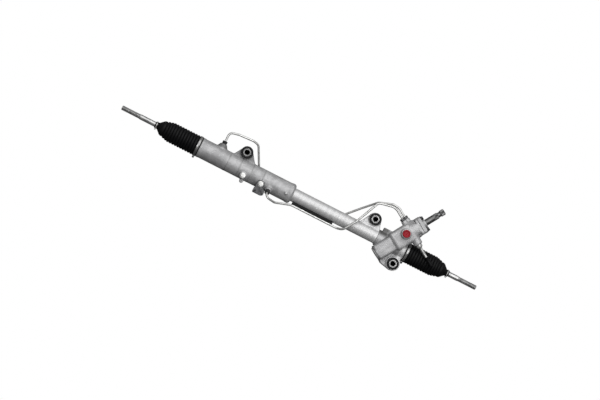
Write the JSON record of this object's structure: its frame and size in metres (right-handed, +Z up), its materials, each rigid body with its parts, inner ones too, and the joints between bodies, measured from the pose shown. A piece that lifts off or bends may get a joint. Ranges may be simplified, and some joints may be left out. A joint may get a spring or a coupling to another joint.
{
  "type": "hydraulic steering rack",
  "caption": "Power steering rack: cylinder, rack bar and helical pinion in a cast housing on three bushings, with boots, tie rods, valve tower and pipes.",
  "frame": {"origin": "centre of the bore of the upper mounting bushing at the pinion end", "axes": "+X along the rack towards the pinion end, +Y along the mounting bolts towards the vehicle's crossmember, +Z up, towards the steering shaft"},
  "size_m": [1.128, 0.117, 0.223],
  "materials": {
    "cast_aluminium": "sand-cast aluminium, grey, faintly grained",
    "machined_aluminium": "turned and polished aluminium",
    "zinc_plate": "zinc-plated steel pipe and fasteners",
    "dark_steel": "phosphated dark steel",
    "ground_steel": "ground hardened steel",
    "forged_steel": "forged and turned steel",
    "boot_rubber": "black moulded rubber",
    "bushing_rubber": "black bonded rubber",
    "seal_rubber": "nitrile rubber",
    "bearing_polymer": "natural acetal",
    "red_plastic": "red moulded polyethylene",
    "bronze": "bearing bronze"
  },
  "bodies": {
    "housing": {"cylinder_housing": "cast_aluminium", "centre_tube": "machined_aluminium", "gear_housing": "cast_aluminium", "valve_cover": "cast_aluminium", "cover_bolts": "dark_steel", "lower_bearing": "ground_steel", "pinion_bush": "bronze", "pinion_seal": "seal_rubber", "upper_bearing": "ground_steel", "input_seal": "seal_rubber", "bottom_cap": "machined_aluminium", "rack_guide": "machined_aluminium", "guide_spring": "dark_steel", "guide_plug": "machined_aluminium", "guide_lock_nut": "zinc_plate", "inner_seal": "seal_rubber", "end_bushing": "machined_aluminium", "end_retainer": "dark_steel", "bushing_shells": "zinc_plate", "outer_chamber_pipe": "zinc_plate", "inner_chamber_pipe": "zinc_plate", "pipe_unions": "dark_steel", "pipe_strip": "boot_rubber", "return_pipe": "zinc_plate", "return_cap": "boot_rubber", "pressure_plug": "red_plastic", "pad_bolts": "zinc_plate", "support_bracket": "dark_steel", "left_boot": "boot_rubber", "left_boot_band": "zinc_plate", "right_boot": "boot_rubber", "right_boot_band": "zinc_plate", "left_bushing_rubber": "bushing_rubber", "left_bushing_sleeve": "forged_steel", "upper_bushing_rubber": "bushing_rubber", "upper_bushing_sleeve": "forged_steel", "lower_bushing_rubber": "bushing_rubber", "lower_bushing_sleeve": "forged_steel"},
    "rack": {"rack_bar": "ground_steel", "piston": "ground_steel", "piston_ring": "bearing_polymer", "left_lock_washer": "dark_steel", "right_lock_washer": "dark_steel", "left_ball_socket": "forged_steel", "right_ball_socket": "forged_steel"},
    "pinion": {"pinion_shaft": "ground_steel", "valve_sleeve": "ground_steel", "torsion_bar": "ground_steel", "pinion_nut": "dark_steel"},
    "steering_input": {"input_shaft": "forged_steel", "torsion_pin": "dark_steel"},
    "left_seat": {"left_ball_seat": "bearing_polymer"},
    "left_rod": {"left_tie_rod": "forged_steel", "left_boot_clip": "zinc_plate"},
    "right_seat": {"right_ball_seat": "bearing_polymer"},
    "right_rod": {"right_tie_rod": "forged_steel", "right_boot_clip": "zinc_plate"}
  },
  "joints": [
    {"name": "rack_slide", "type": "slide", "parent": "housing", "child": "rack", "axis": [1, 0, 0], "range_m": [-0.075, 0.075], "deforming": ["left_boot", "right_boot"]},
    {"name": "pinion_turn", "type": "hinge", "parent": "housing", "child": "pinion", "pos_m": [0.07, -0.01851, -0.0435], "axis": [0.5299, 0, 0.848], "range_deg": [-546.1, 546.1]},
    {"name": "valve_twist", "type": "hinge", "parent": "pinion", "child": "steering_input", "pos_m": [0.07, -0.01851, -0.0435], "axis": [0.5299, 0, 0.848], "range_deg": [-4, 4], "stiffness_Nm_per_rad": 90, "deforming": ["torsion_bar"]},
    {"name": "left_rod_lift", "type": "hinge", "parent": "rack", "child": "left_seat", "pos_m": [-0.624, 0, -0.0435], "axis": [0, 1, 0], "range_deg": [-20, 20], "deforming": ["left_boot"]},
    {"name": "left_rod_sweep", "type": "hinge", "parent": "left_seat", "child": "left_rod", "pos_m": [-0.624, 0, -0.0435], "axis": [0, 0, 1], "range_deg": [-12, 12], "deforming": ["left_boot"]},
    {"name": "right_rod_lift", "type": "hinge", "parent": "rack", "child": "right_seat", "pos_m": [0.205, 0, -0.0435], "axis": [0, 1, 0], "range_deg": [-20, 20], "deforming": ["right_boot"]},
    {"name": "right_rod_sweep", "type": "hinge", "parent": "right_seat", "child": "right_rod", "pos_m": [0.205, 0, -0.0435], "axis": [0, 0, 1], "range_deg": [-12, 12], "deforming": ["right_boot"]}
  ],
  "couplings": [
    {"joint": "pinion_turn", "follows": "rack_slide", "rad_per_m": -126.96}
  ]
}
